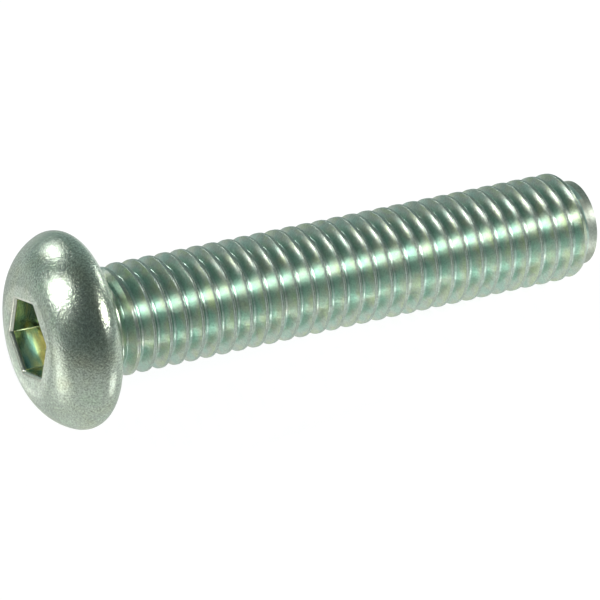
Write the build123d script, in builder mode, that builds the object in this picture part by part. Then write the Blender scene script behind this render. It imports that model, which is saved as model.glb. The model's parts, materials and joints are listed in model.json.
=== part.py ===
from build123d import *
import os
from math import asin, atan2, cos, degrees, hypot, radians, sin, tan

# M8 x 40 button head screw with a hexagon socket, cold headed from one piece of steel.
# It is modelled as it lies on a table: the rim of the head and the last full crest of
# the thread touch the table, so the axis dips towards the point. All sizes are in
# millimetres. The origin is the centre of the bearing face, the flat ring under the
# head. The axis runs in the XZ plane, with the point towards +X and +Z up.

# Thread and shank
thread_diameter = 8.0  # over the crests
thread_pitch = 1.25
thread_depth_share = 0.6134  # depth of the thread over its pitch, ISO metric
screw_length = 40.0  # from the bearing face to the end of the point
neck_relief = 0.17  # how far the plain neck lies below the crests
neck_fillet = 0.4  # where the neck meets the bearing face
point_edge_radius = 0.8  # rounding of the end face

# Head
head_diameter = 14.0
head_height = 4.4
rim_radius = 1.35  # round edge between the dome and the bearing face
rim_sweep = 111.0  # degrees that the rim turns through before the dome begins
land_width = 0.7  # flat on top of the head, outside the socket's corners

# Hexagon socket
socket_across_flats = 5.05
socket_depth = 2.6  # of the flat walls, without the cone below them
socket_cone_angle = 120.0
socket_corner_radius = 0.12  # upright edges between the six walls
socket_mouth_radius = 0.12  # edge between the walls and the land
socket_turn = 10.0  # degrees from the upright, as the screw lies

# Sizes that follow from the ones above
thread_radius = thread_diameter / 2
minor_radius = thread_radius - thread_depth_share * thread_pitch
neck_radius = thread_radius - neck_relief
neck_length = 2 * thread_pitch
point_length = 1.5 * thread_pitch
head_radius = head_diameter / 2
socket_corner = socket_across_flats / 2 / cos(radians(30))
land_radius = socket_corner + land_width
cone_radius = socket_across_flats / 2
cone_depth = cone_radius / tan(radians(socket_cone_angle / 2))

# The table touches the rim's round edge and the corner where the point begins. The
# tangent from that corner to the circle of the rim gives the dip of the axis.
corner_along = screw_length - point_length + rim_radius
corner_across = thread_radius - (head_radius - rim_radius)
dip = asin(rim_radius / hypot(corner_along, corner_across)) - atan2(corner_across, corner_along)
along = (cos(dip), 0, -sin(dip))
across = (sin(dip), 0, cos(dip))
screw_axis = Axis((0, 0, 0), along)
profile_plane = Plane((0, 0, 0), x_dir=across, z_dir=(0, 1, 0))
head_top = Plane((0, 0, 0), x_dir=across, z_dir=along).offset(-head_height)

with BuildPart() as button_head_screw:
    # Head, neck, shank and point are one turned outline: X is the radius and Y runs
    # from the bearing face towards the point. The thread stays at its crest diameter.
    with BuildSketch(profile_plane) as outline:
        with BuildLine():
            rim = JernArc((head_radius - rim_radius, 0), (1, 0), rim_radius, -rim_sweep)
            dome = TangentArc(rim @ 1, (land_radius, -head_height), tangent=rim % 1)
            Polyline(
                dome @ 1,
                (0, -head_height),
                (0, screw_length),
                (minor_radius, screw_length),
                (thread_radius, screw_length - point_length),
                (thread_radius, neck_length + neck_relief),
                (neck_radius, neck_length),
                (neck_radius, 0),
                rim @ 0,
            )
        make_face()
        neck_corner = outline.vertices().sort_by_distance((neck_radius, 0))[0]
        fillet(neck_corner, neck_fillet)
        end_corner = outline.vertices().sort_by_distance((minor_radius, screw_length))[0]
        fillet(end_corner, point_edge_radius)
    revolve(axis=screw_axis)

    # Socket: six flat walls, then the cone that the tip of the heading punch leaves
    with BuildSketch(head_top) as hexagon:
        RegularPolygon(cone_radius, 6, major_radius=False, rotation=socket_turn)
        fillet(hexagon.vertices(), socket_corner_radius)
    extrude(amount=socket_depth, mode=Mode.SUBTRACT)
    mouth = button_head_screw.edges(Select.LAST).group_by(screw_axis)[0]
    fillet(mouth, socket_mouth_radius)
    with BuildSketch(profile_plane) as cone:
        with BuildLine():
            Polyline(
                (0, socket_depth - head_height),
                (cone_radius, socket_depth - head_height),
                (0, socket_depth - head_height + cone_depth),
                close=True,
            )
        make_face()
    revolve(axis=screw_axis, mode=Mode.SUBTRACT)

button_head_screw.part.label = "button_head_screw"
print("dip of the axis in degrees:", round(degrees(dip), 3))

os.makedirs("parts", exist_ok=True)
export_step(button_head_screw.part, "parts/button_head_screw.step")
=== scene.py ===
# %% [markdown]
# # A button head screw, lying on a table
#
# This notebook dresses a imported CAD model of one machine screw. The real one starts as a
# length of steel wire. A press forms the low domed head and punches the hexagon socket,
# flat dies roll the thread, and a bath leaves a thin coat of zinc with a clear,
# slightly green passivation.
#
# The CAD model has the true size and the plain forms. Here the screw gets what it needs
# up close: a real helical thread, rounded edges and a plated finish.

# %% Load the frame
import json
from collections import Counter
from math import atan2, cos, hypot, pi, radians, sin, tan

import bpy
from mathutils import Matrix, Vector


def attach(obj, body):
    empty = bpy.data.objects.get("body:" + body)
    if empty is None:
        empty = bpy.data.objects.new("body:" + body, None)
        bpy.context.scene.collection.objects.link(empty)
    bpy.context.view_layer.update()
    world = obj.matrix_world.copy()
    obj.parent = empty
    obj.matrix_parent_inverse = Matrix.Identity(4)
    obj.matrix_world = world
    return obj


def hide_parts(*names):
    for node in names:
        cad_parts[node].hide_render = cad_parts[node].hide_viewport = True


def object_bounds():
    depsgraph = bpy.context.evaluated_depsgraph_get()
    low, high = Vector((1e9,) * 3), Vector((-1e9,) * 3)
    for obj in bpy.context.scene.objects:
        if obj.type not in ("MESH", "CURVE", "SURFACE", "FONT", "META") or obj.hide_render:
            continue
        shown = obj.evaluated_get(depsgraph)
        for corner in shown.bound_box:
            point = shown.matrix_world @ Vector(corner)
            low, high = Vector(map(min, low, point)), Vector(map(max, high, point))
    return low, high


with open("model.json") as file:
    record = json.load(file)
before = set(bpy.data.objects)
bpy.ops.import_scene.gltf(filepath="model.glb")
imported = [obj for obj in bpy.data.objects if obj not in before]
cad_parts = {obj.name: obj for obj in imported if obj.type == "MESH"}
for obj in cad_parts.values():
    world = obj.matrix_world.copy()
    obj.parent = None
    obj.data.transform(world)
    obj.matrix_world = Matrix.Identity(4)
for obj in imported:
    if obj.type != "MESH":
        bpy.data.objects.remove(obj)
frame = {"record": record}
cad_low, cad_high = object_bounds()
mounts = {mount["name"]: mount for mount in frame["record"]["mounts"]}
print("CAD box in mm:", [round(c * 1000, 2) for c in (*cad_low, *cad_high)])

# %% [markdown]
# ## Sizes
#
# The frame says where the screw lies, how thick its thread is and how high its head is.
# The other sizes are those of the CAD model. Everything is modelled upright first, with
# the axis on Z, the bearing face at height zero and the point upwards. One unit stands
# for a millimetre until the finished screw is laid down and scaled, because many of
# Blender's tools have small fixed tolerances that suit sizes near one.

# %% Sizes of the screw, in millimetres
METRE = 1000.0
axis_along = Vector(mounts["bearing_face"]["axis"])
crest_radius = mounts["thread"]["dims"]["r_mm"]
full_thread_length = mounts["thread"]["dims"]["length_mm"]
full_thread_middle = Vector(mounts["thread"]["pos_m"]).length * METRE
full_thread_end = full_thread_middle + full_thread_length / 2
head_height = Vector(mounts["hex_socket"]["pos_m"]).length * METRE

pitch = 1.25
root_radius = crest_radius - 0.6134 * pitch  # the depth of the ISO metric thread
neck_radius = crest_radius - 0.17
neck_fillet = 0.4
screw_length = 40.0
head_radius = 7.0
rim_radius = 1.35
rim_sweep = radians(111)
socket_across_flats = 5.05
socket_corner = socket_across_flats / 2 / cos(radians(30))
socket_depth = 2.6
socket_turn = radians(10)
land_radius = socket_corner + 0.7
around = 96  # faces round the axis
print("thread from crest to root:", crest_radius, "to", round(root_radius, 3))

# %% [markdown]
# ## Picking vertices
#
# Every tool in edit mode works on what is selected. By hand one clicks; in a script the
# vertices are picked by their place, which still works when a size changes.

# %% Helpers for selection
def deselect_objects():
    if bpy.context.object and bpy.context.object.mode == "EDIT":
        bpy.ops.object.mode_set(mode="OBJECT")
    bpy.ops.object.select_all(action="DESELECT")


def select_only(piece):
    deselect_objects()
    bpy.context.view_layer.objects.active = piece
    piece.select_set(True)


def pick(piece, test, kind="VERT"):
    """Goes into edit mode with only the vertices selected that pass the test."""
    select_only(piece)
    bpy.ops.object.mode_set(mode="EDIT")
    bpy.ops.mesh.select_mode(type="VERT")
    bpy.ops.mesh.select_all(action="DESELECT")
    bpy.ops.object.mode_set(mode="OBJECT")
    for vertex in piece.data.vertices:
        vertex.select = test(vertex.co)
    bpy.ops.object.mode_set(mode="EDIT")
    bpy.ops.mesh.select_mode(type=kind)


def radius_of(point):
    return hypot(point.x, point.y)


def near(a, b, reach=0.002):
    return abs(a - b) < reach


def finish_modifier(piece, modifier):
    select_only(piece)
    bpy.ops.object.modifier_apply(modifier=modifier.name)


# %% [markdown]
# ## Drawing outlines
#
# A turned part needs an outline. The quickest way to draw one is to start from a single
# vertex, extrude it along the straight runs and spin it through the round ones, as one
# would do by hand. A last spin, all the way round, is the lathe.

# %% Helpers for outlines
def start_outline(name, radius, height):
    """One vertex in the XZ plane: a small plane, merged to its centre."""
    deselect_objects()
    bpy.ops.mesh.primitive_plane_add(size=1)
    piece = bpy.context.object
    piece.name = name
    bpy.ops.object.mode_set(mode="EDIT")
    bpy.ops.mesh.select_mode(type="VERT")
    bpy.ops.mesh.select_all(action="SELECT")
    bpy.ops.mesh.merge(type="CENTER")
    bpy.ops.transform.translate(value=(radius, 0, height))
    return piece


def run(radius, height):
    """A straight run of the outline, by so much outwards and upwards."""
    bpy.ops.mesh.extrude_region_move(TRANSFORM_OT_translate={"value": (radius, 0, height)})


def arc(centre_radius, centre_height, angle, steps):
    """A round stretch of the outline, about a centre in the XZ plane."""
    centre = (centre_radius, 0, centre_height)
    bpy.ops.mesh.spin(steps=steps, angle=angle, center=centre, axis=(0, 1, 0))


def lathe():
    """Turns the whole outline round the screw's axis and closes the seam."""
    bpy.ops.mesh.select_all(action="SELECT")
    bpy.ops.mesh.spin(steps=around, angle=2 * pi, center=(0, 0, 0), axis=(0, 0, 1))
    bpy.ops.mesh.select_all(action="SELECT")
    bpy.ops.mesh.remove_doubles(threshold=0.0005)


# %% [markdown]
# ## Head and neck
#
# The press leaves a dome that runs without an edge into a round rim, and the rim turns
# under to the flat bearing face. A sphere with a squashed base wouldn't have that rim,
# so the outline is drawn as arcs that are tangent to each other, from the neck outwards
# and over the top to the flat land round the socket. The radius of the dome follows
# from its two ends and from the direction in which the rim leaves off.

# %% Turn the head and the neck
neck_end = 0.5
fillet_steps, rim_steps, dome_steps = 6, 20, 18
rim_centre = (head_radius - rim_radius, -rim_radius)
rim_end = (
    rim_centre[0] + rim_radius * sin(rim_sweep),
    rim_centre[1] + rim_radius * cos(rim_sweep),
)
inward = (-sin(rim_sweep), -cos(rim_sweep))
chord = (land_radius - rim_end[0], -head_height - rim_end[1])
chord_inward = chord[0] * inward[0] + chord[1] * inward[1]
dome_radius = (chord[0] ** 2 + chord[1] ** 2) / 2 / chord_inward
dome_centre = (rim_end[0] + dome_radius * inward[0], rim_end[1] + dome_radius * inward[1])
dome_end_angle = atan2(land_radius - dome_centre[0], -head_height - dome_centre[1])

screw = start_outline("zinc_plated_screw", neck_radius, neck_end)
run(0, neck_fillet - neck_end)
arc(neck_radius + neck_fillet, neck_fillet, radians(90), fillet_steps)
run(rim_centre[0] - neck_radius - neck_fillet, 0)
arc(*rim_centre, -rim_sweep, rim_steps)
arc(*dome_centre, rim_sweep - dome_end_angle, dome_steps)
lathe()
bpy.ops.object.mode_set(mode="OBJECT")
print("dome radius:", round(dome_radius, 2), "faces:", len(screw.data.polygons))

# %% [markdown]
# ## Hexagon socket
#
# A punch makes the socket, so its six walls are flat and the upright corners between
# them are slightly rounded. The hexagon starts as a circle with six vertices, whose
# corners are bevelled. Its long sides are then divided until it has as many vertices
# as the edge of the land has, which makes the two loops easy to bridge.

# %% Draw the hexagon
corner_radius = 0.12
corner_steps = 4
flat_steps = around // 6 - corner_steps
socket_reach = 3.0  # from the axis, between the corners of the socket and the land's edge
shortest_flat = 1.0  # longer than the short edges of the corners

pick(screw, lambda co: False)
bpy.ops.mesh.primitive_circle_add(
    vertices=6,
    radius=socket_corner,
    location=(0, 0, -head_height),
    rotation=(0, 0, socket_turn - radians(30)),  # a circle's first vertex is on Y
)
bpy.ops.mesh.bevel(
    affect="VERTICES",
    offset_type="OFFSET",
    offset=corner_radius * tan(radians(30)),
    segments=corner_steps,
)
bpy.ops.mesh.select_all(action="DESELECT")
bpy.ops.object.mode_set(mode="OBJECT")
for edge in screw.data.edges:
    a, b = (screw.data.vertices[i].co for i in edge.vertices)
    in_hexagon = near(a.z, -head_height) and radius_of(a) < socket_reach
    edge.select = in_hexagon and (a - b).length > shortest_flat
bpy.ops.object.mode_set(mode="EDIT")
bpy.ops.mesh.select_mode(type="EDGE")
bpy.ops.mesh.subdivide(number_cuts=flat_steps - 1)
bpy.ops.object.mode_set(mode="OBJECT")
print("vertices with the hexagon:", len(screw.data.vertices))

# %% [markdown]
# ## Walls and mouth of the socket
#
# Cutting the socket with a boolean would leave one large face round the mouth that
# shades badly. Bridging the hexagon to the land gives clean faces that a bevel can
# follow. The mouth is rounder than a new one, because keys have rubbed it.

# %% Bridge the hexagon to the land and sink the walls
mouth_radius = 0.3
mouth_steps = 4


def in_mouth(co):
    return near(co.z, -head_height) and radius_of(co) < socket_reach


pick(screw, lambda co: near(co.z, -head_height), "EDGE")
bpy.ops.mesh.bridge_edge_loops()
pick(screw, in_mouth, "EDGE")
bpy.ops.mesh.extrude_region_move(TRANSFORM_OT_translate={"value": (0, 0, socket_depth)})
pick(screw, in_mouth, "EDGE")
bpy.ops.mesh.bevel(
    offset=mouth_radius, offset_type="OFFSET", segments=mouth_steps, clamp_overlap=False
)
bpy.ops.object.mode_set(mode="OBJECT")
print("faces with the walls:", len(screw.data.polygons))

# %% [markdown]
# ## Floor of the socket
#
# The tip of the punch leaves a shallow cone. A circle just inside the six walls is
# bridged to them, and the cone is the circle's edge, drawn down to a single point.

# %% Close the socket with the punch's cone
socket_floor = socket_depth - head_height
cone_radius = socket_across_flats / 2 - 0.03
cone_depth = socket_across_flats / 2 / tan(radians(60))

pick(screw, lambda co: False)
bpy.ops.mesh.primitive_circle_add(
    vertices=around, radius=cone_radius, location=(0, 0, socket_floor)
)
pick(screw, lambda co: near(co.z, socket_floor) and radius_of(co) < socket_reach, "EDGE")
bpy.ops.mesh.bridge_edge_loops()
pick(screw, lambda co: near(co.z, socket_floor) and radius_of(co) < cone_radius + 0.01, "EDGE")
bpy.ops.mesh.extrude_region_move(TRANSFORM_OT_translate={"value": (0, 0, cone_depth)})
bpy.ops.mesh.merge(type="CENTER")
bpy.ops.object.mode_set(mode="OBJECT")
print("faces of the head:", len(screw.data.polygons))

# %% [markdown]
# ## Thread
#
# Flat dies press the thread into the blank. Its grooves are V shaped with a rounded
# root. The metal of both flanks is pushed up and meets on the crest, which leaves soft
# edges and a shallow seam between them. Rings or a bump map would look alike from far
# away, but on a real thread one groove winds from end to end. The Screw modifier does
# that: it winds the outline of one groove up by a pitch a turn.

# %% Wind one groove into a thread
rolled_radius = crest_radius - 0.05  # the dies don't quite fill the crest
thread_depth = rolled_radius - root_radius
flank_run = thread_depth * tan(radians(30))
crest_flat = 0.22
seam_depth = 0.035
root_flat = pitch - crest_flat - 2 * flank_run
crest_rounding = 0.045
root_rounding = 0.055
rounding_steps = 3
first_crest = 4.31  # height of a crest, seen at crest_turn
crest_turn = 147.05  # degrees round the axis
winding_start = first_crest - pitch * (crest_turn / 360 + 0.5) - 3 * pitch
turns = 35


def in_root(co):
    """At an inner corner of the groove, but not at the outline's ends."""
    inside = winding_start + 0.01 < co.z < winding_start + pitch - 0.01
    return near(co.x, root_radius) and inside


thread = start_outline("thread", root_radius, winding_start)
run(0, root_flat / 2)
run(thread_depth, flank_run)
run(-seam_depth, crest_flat / 2)
run(seam_depth, crest_flat / 2)
run(-thread_depth, flank_run)
run(0, root_flat / 2)
for test, rounding in (
    (in_root, root_rounding),
    (lambda co: near(co.x, rolled_radius), crest_rounding),
):
    pick(thread, test)
    bpy.ops.mesh.bevel(
        affect="VERTICES", offset_type="OFFSET", offset=rounding, segments=rounding_steps
    )
bpy.ops.object.mode_set(mode="OBJECT")
winding = thread.modifiers.new("winding", "SCREW")
winding.axis = "Z"
winding.angle = 2 * pi
winding.screw_offset = pitch
winding.iterations = turns
winding.steps = around
winding.render_steps = around
finish_modifier(thread, winding)
pick(thread, lambda co: True)
bpy.ops.mesh.remove_doubles(threshold=0.0005)
bpy.ops.object.mode_set(mode="OBJECT")
print("faces of the thread:", len(thread.data.polygons))

# %% [markdown]
# ## Where the thread begins and ends
#
# Below the head the dies stop, and the groove fades out over about one turn into a
# plain neck that is a little thinner than the crests. At the other end the last crest
# drops to a smooth collar, because the blank is chamfered there and the dies no longer
# touch it. The Cast modifier pulls vertices onto a cylinder, as strongly as their
# weight says, so a weight that fades with height makes both ends.

# %% Fade the groove into the neck and into the collar
crest_fade = (1.8, 2.5)  # heights over which the crests rise out of the neck
groove_fade = (0.85, 1.8)  # heights over which the groove deepens
collar_fade = (39.3, 38.4)  # heights over which crests and groove rise out of the collar
collar_radius = 3.1


def cast_onto(piece, name, radius, fade_of):
    """Pulls a piece onto a cylinder.

    fade_of gives two heights for a vertex's radius. The pull is full at the first one
    and gone at the second.
    """
    group = piece.vertex_groups.new(name=name)
    for vertex in piece.data.vertices:
        full, none = fade_of(radius_of(vertex.co))
        t = min(max((vertex.co.z - full) / (none - full), 0), 1)
        weight = 1 - t * t * (3 - 2 * t)
        if weight > 0:
            group.add([vertex.index], weight, "REPLACE")
    cast = piece.modifiers.new(name, "CAST")
    cast.cast_type = "CYLINDER"
    cast.use_z = False
    cast.factor = 1
    cast.use_radius_as_size = False
    cast.size = radius
    cast.vertex_group = name
    finish_modifier(piece, cast)
    bpy.ops.object.vertex_group_remove(all=True)


def neck_fade(radius):
    return crest_fade if radius > neck_radius else groove_fade


cast_onto(thread, "neck", neck_radius, neck_fade)
cast_onto(thread, "collar", collar_radius, lambda radius: collar_fade)
collar = [radius_of(v.co) for v in thread.data.vertices if v.co.z > collar_fade[0]]
print("thread radius at the collar:", round(max(collar), 3))

# %% [markdown]
# ## Ends of the thread
#
# The winding is longer than the thread. Both ends are cut flat, and the cuts are
# closed, because the next step needs a solid.

# %% Cut both ends of the thread flat
thread_floor = 0.8
thread_top = screw_length + 0.5


def cut_flat(piece, height, upwards):
    """Removes what lies beyond a height and closes the cut with a face."""
    pick(piece, lambda co: True)
    bpy.ops.mesh.bisect(
        plane_co=(0, 0, height),
        plane_no=(0, 0, 1 if upwards else -1),
        use_fill=True,
        clear_outer=True,
        threshold=0.0001,
    )
    bpy.ops.object.mode_set(mode="OBJECT")


cut_flat(thread, thread_top, True)
cut_flat(thread, thread_floor, False)
pick(thread, lambda co: True)
bpy.ops.mesh.normals_make_consistent(inside=False)
bpy.ops.object.mode_set(mode="OBJECT")
print("faces after the cuts:", len(thread.data.polygons))

# %% [markdown]
# ## Point
#
# The wire was chamfered before the thread was rolled, so the point gets thinner along a
# cone, and the end face has a round edge. A turned form with that cone is wider than
# the thread elsewhere, and the Boolean modifier keeps what lies inside both.

# %% Turn the point's form and keep what lies inside it
point_edge_radius = 0.8
point_edge_steps = 10
form_clearance = 0.4  # how much wider than the crests the form is
point_slope = atan2(crest_radius - root_radius, screw_length - full_thread_end)
form_radius = crest_radius + form_clearance
form_start = full_thread_end - form_clearance / tan(point_slope)
form_floor = thread_floor - 0.2  # a little below the thread, so that only the point is cut
edge_turn = radians(90) - point_slope
tangent_length = point_edge_radius * tan(edge_turn / 2)
cone_length = hypot(form_radius - root_radius, screw_length - form_start) - tangent_length

form = start_outline("point_form", 0, form_floor)
run(form_radius, 0)
run(0, form_start - form_floor)
run(-cone_length * sin(point_slope), cone_length * cos(point_slope))
edge_centre = (root_radius - tangent_length, screw_length - point_edge_radius)
arc(*edge_centre, edge_turn, point_edge_steps)
run(tangent_length - root_radius, 0)
lathe()
bpy.ops.mesh.normals_make_consistent(inside=False)
bpy.ops.object.mode_set(mode="OBJECT")
keep = thread.modifiers.new("keep", "BOOLEAN")
keep.operation = "INTERSECT"
keep.solver = "EXACT"
keep.object = form
finish_modifier(thread, keep)
bpy.data.objects.remove(form)
print("faces with the point:", len(thread.data.polygons))

# %% [markdown]
# ## One piece
#
# The thread's lower end is a round hole after its cut is opened again, and so is the
# end of the neck. Joining the two objects and bridging the loops makes one closed skin,
# as on the real screw. An edge with only one face would be a gap, so they are counted.

# %% Join the head and the thread
pick(thread, lambda co: near(co.z, thread_floor, 0.0005), "FACE")
bpy.ops.mesh.delete(type="ONLY_FACE")
deselect_objects()
thread.select_set(True)
screw.select_set(True)
bpy.context.view_layer.objects.active = screw
bpy.ops.object.join()
pick(
    screw,
    lambda co: near(co.z, neck_end, 0.0005) or near(co.z, thread_floor, 0.0005),
    "EDGE",
)
bpy.ops.mesh.bridge_edge_loops()
bpy.ops.mesh.select_all(action="SELECT")
bpy.ops.mesh.normals_make_consistent(inside=False)
bpy.ops.object.mode_set(mode="OBJECT")
faces_at = Counter(edge for face in screw.data.polygons for edge in face.edge_keys)
print("open edges:", sum(count != 2 for count in faces_at.values()))

# %% [markdown]
# ## Shading
#
# Smooth shading alone would lean the flat flanks and walls towards the narrow round
# faces beside them. Weighted by area, the wide faces stay flat and mirror truly. This
# is done while the screw is large, because the modifier takes very small faces for
# empty ones.

# %% Shade it smooth where it is round
select_only(screw)
bpy.ops.object.shade_smooth_by_angle(angle=radians(32))
flat = screw.modifiers.new("flat", "WEIGHTED_NORMAL")
flat.mode = "FACE_AREA"
flat.weight = 100
flat.keep_sharp = True
finish_modifier(screw, flat)
print("sharp edges:", sum(edge.use_edge_sharp for edge in screw.data.edges))

# %% [markdown]
# ## Lying on the table
#
# A screw comes to rest on the rim of its head and on its last full crest, so its axis
# dips a little towards the point. The frame gives the axis. Turning, scaling and
# applying both leaves the object at the origin, unturned and unscaled, in metres.

# %% Lay the screw down, in metres
dip = atan2(-axis_along.z, axis_along.x)
select_only(screw)
screw.rotation_euler = (0, radians(90) + dip, 0)
screw.scale = (1 / METRE, 1 / METRE, 1 / METRE)
bpy.ops.object.transform_apply(location=True, rotation=True, scale=True)
print("triangles:", sum(len(face.vertices) - 2 for face in screw.data.polygons))
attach(screw, "root")
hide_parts("button_head_screw")


# %% [markdown]
# ## Nodes for the materials
#
# One function adds every node. The others only shorten what the materials ask for most:
# a colour from its hex code, noise in millimetres, a range turned into another one, and
# how far a place lies in some direction.

# %% Helpers for materials
def srgb(code):
    """Linear colour from a hex code."""
    channels = [int(code[i : i + 2], 16) / 255 for i in (1, 3, 5)]
    return (*[c / 12.92 if c <= 0.04045 else ((c + 0.055) / 1.055) ** 2.4 for c in channels], 1)


def add(tree, kind, settings=None, links=None):
    """Adds a node; settings are properties or input values, links are input sockets."""
    node = tree.nodes.new(kind)
    for key, value in (settings or {}).items():
        if isinstance(key, str) and hasattr(node, key):
            setattr(node, key, value)
        else:
            node.inputs[key].default_value = value
    for key, socket in (links or {}).items():
        tree.links.new(socket, node.inputs[key])
    return node


def new_material(name):
    material = bpy.data.materials.new(name)
    material.use_nodes = True
    tree = material.node_tree
    tree.nodes.clear()
    return material, tree


def noise(tree, place, size):
    """Soft noise with patches of so many millimetres."""
    settings = {"Scale": METRE / size, "Detail": 2.0}
    return add(tree, "ShaderNodeTexNoise", settings, {"Vector": place}).outputs["Fac"]


def remap(tree, value, start, end, low, high, clamp=True):
    """Turns the range from start to end into the one from low to high."""
    settings = {"From Min": start, "From Max": end, "To Min": low, "To Max": high, "clamp": clamp}
    return add(tree, "ShaderNodeMapRange", settings, {"Value": value}).outputs["Result"]


def distance_along(tree, place, direction):
    settings = {"operation": "DOT_PRODUCT", 1: tuple(direction)}
    return add(tree, "ShaderNodeVectorMath", settings, {0: place}).outputs["Value"]


def maths(tree, operation, first, second):
    """first is an output socket, second is a number or an output socket."""
    if isinstance(second, float):
        node = add(tree, "ShaderNodeMath", {"operation": operation, 1: second}, {0: first})
    else:
        node = add(tree, "ShaderNodeMath", {"operation": operation}, {0: first, 1: second})
    return node.outputs["Value"]


# %% [markdown]
# ## Zinc plating
#
# Zinc with a clear passivation is a metal with a cool green-grey tint. The passivation
# is a film of about a tenth of a micrometre, so it shows faint yellow, pink and teal
# where its thickness varies, as oil does on water. A noise stands for the thickness and
# a colour ramp turns it into the hues. The film also gathers in some places, so the
# thickness can grow along the screw or away from its axis. The grain is a second, much
# finer noise, which makes both small bumps and small changes of tone.

# %% The film's colour and the whole plating
def film_colour(tree, place, tints, film, thicker, squeeze):
    """The plain colour first in tints, then what the film adds, from thin to thick."""
    size, strength = film
    measure, start, end, amount = thicker
    along = distance_along(tree, place, axis_along)
    on_axis = add(
        tree, "ShaderNodeVectorMath", {"operation": "PROJECT", 1: tuple(axis_along)}, {0: place}
    ).outputs["Vector"]
    off_axis = add(
        tree, "ShaderNodeVectorMath", {"operation": "DISTANCE"}, {0: place, 1: on_axis}
    ).outputs["Value"]
    squeezed = add(
        tree,
        "ShaderNodeMix",
        {"data_type": "VECTOR", "Factor": squeeze},
        {4: on_axis, 5: place},
    ).outputs[1]
    where = {"along": along, "off_axis": off_axis}[measure]
    extra = remap(tree, where, start / METRE, end / METRE, -amount, amount)
    thickness = maths(tree, "ADD", noise(tree, squeezed, size), extra)
    hue = add(tree, "ShaderNodeValToRGB", links={"Fac": thickness})
    thinnest, thickest = 0.3, 0.7  # where the noise seldom goes beyond
    stops = hue.color_ramp.elements
    stops[0].position, stops[0].color = thinnest, srgb(tints[1])
    stops[1].position, stops[1].color = thickest, srgb(tints[-1])
    step = (thickest - thinnest) / (len(tints) - 2)
    for i, tint in enumerate(tints[2:-1], 1):
        stops.new(thinnest + step * i).color = srgb(tint)
    return add(
        tree,
        "ShaderNodeMix",
        {"data_type": "RGBA", "Factor": strength, 6: srgb(tints[0])},
        {7: hue.outputs["Color"]},
    ).outputs[2]


def zinc_plating(name, tints, film, roughness, grain, thicker=None, squeeze=1.0):
    """A plated metal.

    film is the size of its patches in mm and how much they show. grain is the size of the
    grain in mm, its height in mm and its contrast. thicker says how the film's thickness
    grows with a place on the screw: the measure, where it starts and ends, and how much.
    A squeeze below 1 turns the round patches into bands across the screw's axis.
    """
    size, height, contrast = grain
    material, tree = new_material(name)
    place = add(tree, "ShaderNodeTexCoord").outputs["Object"]
    tinted = film_colour(tree, place, tints, film, thicker or ("off_axis", 0, 1, 0), squeeze)
    speckle = noise(tree, place, size)
    shade = remap(tree, speckle, 0.25, 0.75, 1 - contrast, 1 + contrast, clamp=False)
    colour = add(
        tree, "ShaderNodeVectorMath", {"operation": "SCALE"}, {0: tinted, "Scale": shade}
    )
    bump = add(
        tree, "ShaderNodeBump", {"Strength": 1.0, "Distance": height / METRE}, {"Height": speckle}
    )
    shader = add(
        tree,
        "ShaderNodeBsdfPrincipled",
        {"Metallic": 1.0, "Roughness": roughness},
        {"Base Color": colour.outputs["Vector"], "Normal": bump.outputs["Normal"]},
    )
    add(tree, "ShaderNodeOutputMaterial", links={"Surface": shader.outputs["BSDF"]})
    return material


# %% [markdown]
# ## Finishes of the head
#
# The head was pressed and then tumbled with thousands of others, which leaves it satin:
# its highlights are soft and the grain shows. The socket's walls were never touched by
# other screws and are close to a mirror. There the light bounces several times, so its
# tints count several times over and turn green and yellow. Keys have rubbed the
# socket's edges smoother than the head.

# %% Satin, mirror and rubbed plating
satin_zinc = zinc_plating(
    "satin zinc plating",
    tints=["#CFDFC9", "#DBDCC4", "#D2DDD0", "#CBD5D6", "#C6DFCF"],
    film=(2.0, 0.3),
    roughness=0.27,  # the highlights' soft edges
    grain=(0.13, 0.022, 0.37),  # the tumbled look
)
socket_zinc = zinc_plating(
    "mirror zinc plating in the socket",
    tints=["#D8E6EA", "#8EC0CA", "#B8DAD4", "#FFF8C4"],  # teal near the mouth, yellow below
    film=(0.45, 0.85),
    roughness=0.13,  # the walls mirror each other
    grain=(0.2, 0.005, 0.15),
    thicker=("along", -head_height, -2.6, 0.14),
    squeeze=0.2,
)
rubbed_zinc = zinc_plating(
    "rubbed zinc plating on the edges of the socket",
    tints=["#DEE6D6", "#E6E8D2", "#D6E0D6"],  # paler, because the film is worn
    film=(1.0, 0.3),
    roughness=0.2,
    grain=(0.15, 0.004, 0.2),
)

# %% [markdown]
# ## Finishes of the thread
#
# The dies are polished, so the flanks have hardly any grain, and their film is thicker
# towards the crests. The crests stood free while the dies pressed the grooves, so their
# edges are matte, and so is the point. The seam between the edges is duller than the
# flanks and paler than the edges.

# %% Bright, matte and dull plating
bright_zinc = zinc_plating(
    "bright zinc plating",
    tints=["#C9E0D0", "#A4D2CC", "#BEDAD0", "#DACEC8", "#E0DEA6"],  # teal, pink, yellow
    film=(1.3, 0.33),
    roughness=0.28,
    grain=(0.14, 0.005, 0.16),  # almost none
    thicker=("off_axis", root_radius, crest_radius, 0.15),
)
crest_zinc = zinc_plating(
    "matte zinc plating on the crests and the point",
    tints=["#B9C5B7", "#BFC4AC", "#B4BEBA"],
    film=(2.0, 0.3),
    roughness=0.42,  # no clear highlights
    grain=(0.15, 0.002, 0.2),
)
dull_zinc = zinc_plating(
    "dull zinc plating in the seam of the crests",
    tints=["#C4D4C8", "#CCD6BE", "#B8D0CC"],
    film=(1.0, 0.3),
    roughness=0.32,
    grain=(0.15, 0.002, 0.2),
)
finishes = [satin_zinc, bright_zinc, socket_zinc, rubbed_zinc, crest_zinc, dull_zinc]
for material in finishes:
    screw.data.materials.append(material)
print("materials:", [m.name for m in screw.data.materials])

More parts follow.
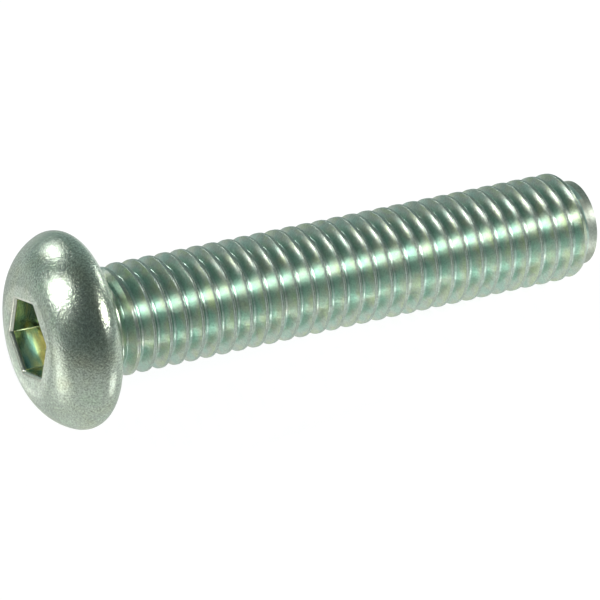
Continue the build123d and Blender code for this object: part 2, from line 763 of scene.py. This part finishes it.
# %% [markdown]
# ## Which finish goes where
#
# A face is told by where its middle lies: how far along the axis, and how far off it.
# The crests' faces are a little inside the crests' radius, hence the slack.

# %% Each finish goes on its faces
slack = 0.012
shank_start = 0.02
mouth_start = 0.002 - head_height
corner_start = socket_corner - 0.033  # the rounded corners lie farther out than this


def finish_at(along, off_axis):
    on_thread = along > crest_fade[1]
    at_point = along > screw_length - point_edge_radius
    if at_point or on_thread and off_axis > rolled_radius - slack:
        return crest_zinc
    if on_thread and off_axis > rolled_radius - seam_depth - slack:
        return dull_zinc
    if along > shank_start:
        return bright_zinc
    if off_axis < socket_corner + mouth_radius and along > mouth_start:
        on_edge = along < mouth_radius - head_height or off_axis > corner_start
        return rubbed_zinc if on_edge else socket_zinc
    return satin_zinc


for face in screw.data.polygons:
    along = face.center.dot(axis_along) * METRE
    off_axis = (face.center - axis_along * along / METRE).length * METRE
    face.material_index = finishes.index(finish_at(along, off_axis))
for i, finish in enumerate(finishes):
    count = sum(face.material_index == i for face in screw.data.polygons)
    print(finish.name, "on", count, "faces")

# %% [markdown]
# ## Table
#
# The screw lies on a white table, and most of what its lower half mirrors is that
# table. To the camera it is plain white. To the metal it is only about half as bright,
# because under soft light a white sheet isn't as bright as the background that a studio
# lights by itself. In mirrors and to the lamps it has painted shade, set by place: it is
# darker in front, where the room is dark, and behind the head at the left. A faint gloss
# at low angles brightens its far side.

# %% White table
table_glow = (0.9, 0.46)  # to the camera, and in mirrors
table_chalk = (0.2, 0.6)  # how much light of the lamps it throws back
# Painted shade on the table: where it starts and ends, in front and behind the head at the left,
# and how dark it gets there.
front_from, front_to, front_shade_level = -0.045, 0.01, 0.2  # metres from the origin
corner_from, corner_to, corner_shade_level = 0.006, 0.016, 0.58

bpy.ops.mesh.primitive_plane_add(size=3, location=(0, 0, cad_low[2]))
table = bpy.context.object
table.name = "table"
paint, tree = new_material("white table")
path = add(tree, "ShaderNodeLightPath")
by_camera = path.outputs["Is Camera Ray"]
place = add(tree, "ShaderNodeTexCoord").outputs["Object"]
to_the_back = distance_along(tree, place, (0.5, 0.866, 0))
to_the_corner = distance_along(tree, place, (-0.707, 0.707, 0))
# Painted shade: by place on the table, its glow in mirrors and the lamp light it throws back fall
# off towards the front and behind the head at the left.
front = remap(tree, to_the_back, front_from, front_to, front_shade_level, 1.0)
corner = remap(tree, to_the_corner, corner_from, corner_to, 1.0, corner_shade_level)
painted_shade_factor = maths(tree, "MULTIPLY", front, corner)
in_mirrors = maths(tree, "ADD", path.outputs["Is Glossy Ray"], path.outputs["Is Transmission Ray"])
mirrored = maths(tree, "MULTIPLY", maths(tree, "MULTIPLY", in_mirrors, painted_shade_factor), table_glow[1])
chalk_level = add(
    tree,
    "ShaderNodeMix",
    {"data_type": "FLOAT", 3: table_chalk[0]},
    {"Factor": by_camera, 2: maths(tree, "MULTIPLY", painted_shade_factor, table_chalk[1])},
)
glow_level = add(
    tree,
    "ShaderNodeMix",
    {"data_type": "FLOAT", 3: table_glow[0]},
    {"Factor": by_camera, 2: mirrored},
)
glow = add(
    tree, "ShaderNodeEmission", {"Color": (1, 1, 1, 1)}, {"Strength": glow_level.outputs[0]}
)
chalk = add(tree, "ShaderNodeBsdfDiffuse", links={"Color": chalk_level.outputs[0]})
gloss = add(tree, "ShaderNodeBsdfGlossy", {"Color": (1, 1, 1, 1), "Roughness": 0.1})
glancing = add(tree, "ShaderNodeFresnel", {"IOR": 2.3})
coated = add(
    tree,
    "ShaderNodeMixShader",
    links={"Fac": glancing.outputs["Fac"], 1: chalk.outputs["BSDF"], 2: gloss.outputs["BSDF"]},
)
both = add(
    tree, "ShaderNodeAddShader", links={0: coated.outputs["Shader"], 1: glow.outputs["Emission"]}
)
add(tree, "ShaderNodeOutputMaterial", links={"Surface": both.outputs["Shader"]})
table.data.materials.append(paint)
print("table at height in mm:", round(cad_low[2] * METRE, 3))

# %% [markdown]
# ## Lamps
#
# A lamp only shows on metal where it is mirrored, so the lamps stand where the
# highlights on the head and on the flanks ask for them: a large soft one at the left, a
# small one behind, a wide one at the right in front and a narrow one at the right. Each
# is given by where it stands as seen from the screw, and by how much of the view it
# fills, because that is what a highlight shows.

# %% Lamps, by where they stand as seen from the screw
middle = Vector((0.0135, -0.0062, 0.0015))
lamp_distance = 0.5
lamp_colour = srgb("#FFF9F8")[:3]


def direction(azimuth, height):
    """Towards a compass angle from +Y to +X and an angle above the table."""
    a, h = radians(azimuth), radians(height)
    return Vector((sin(a) * cos(h), cos(a) * cos(h), sin(h)))


def lamp(name, azimuth, height, width, tall, tilt, brightness):
    """A soft oval lamp; width and tall are the angles that it fills."""
    towards = direction(azimuth, height)
    bpy.ops.object.light_add(type="AREA", location=middle + towards * lamp_distance)
    light = bpy.context.object
    light.name = name
    light.rotation_euler = towards.to_track_quat("Z", "Y").to_euler()
    light.rotation_euler.rotate_axis("Z", radians(tilt))
    data = light.data
    data.shape = "ELLIPSE"
    data.size = 2 * lamp_distance * tan(radians(width / 2))
    data.size_y = 2 * lamp_distance * tan(radians(tall / 2))
    data.color = lamp_colour
    # Blender's area lamp has a radiance of its power over pi times its area
    data.energy = brightness * pi * pi / 4 * data.size * data.size_y
    print(name, "with", round(data.energy, 3), "W")


lamp("large lamp at the left", -73, 29, width=10.5, tall=36, tilt=-17, brightness=10)
lamp("small lamp behind", -20, 33, width=14, tall=14, tilt=0, brightness=7)
lamp("lamp at the right in front", 148, 38.5, width=29, tall=11.5, tilt=-10, brightness=15)
lamp("narrow lamp at the right", 76, 24, width=9, tall=22, tilt=40, brightness=5)

# %% [markdown]
# ## Room
#
# The dark parts of the metal mirror the room. It is pale and slightly green on the far
# side and low down, and darker on the camera's side and above, where the studio has no
# lit walls.

# %% The room
room_levels = (0.1, 0.4)  # darkest and brightest
world = bpy.data.worlds.new("room")
bpy.context.scene.world = world
world.use_nodes = True
tree = world.node_tree
tree.nodes.clear()
around_us = add(tree, "ShaderNodeTexCoord").outputs["Generated"]
brightness = remap(
    tree, distance_along(tree, around_us, direction(30, -45)), -0.9, 0.7, *room_levels
)
room = add(tree, "ShaderNodeBackground", {"Color": srgb("#DCF2F0")}, {"Strength": brightness})
add(tree, "ShaderNodeOutputWorld", links={"Surface": room.outputs["Background"]})
print("room from", room_levels[0], "to", room_levels[1])

# %% [markdown]
# ## Camera
#
# The camera looks down on the head from the left, with a long lens from about 28 cm, so
# that the head is larger than the point without looking bulbous.

# %% Camera
look_down, look_right = 32.415, 28.272  # degrees
bpy.ops.object.camera_add(
    location=(-0.09825052, -0.21405576, 0.15142378),
    rotation=(radians(90 - look_down), 0, radians(-look_right)),
)
camera = bpy.context.object
camera.data.lens = 242.626
camera.data.sensor_width = 36
camera.data.clip_start = 0.01
camera.data.clip_end = 20
bpy.context.scene.camera = camera
bpy.context.scene.view_settings.view_transform = "Standard"
print("camera from the screw in mm:", round((camera.location - middle).length * METRE))
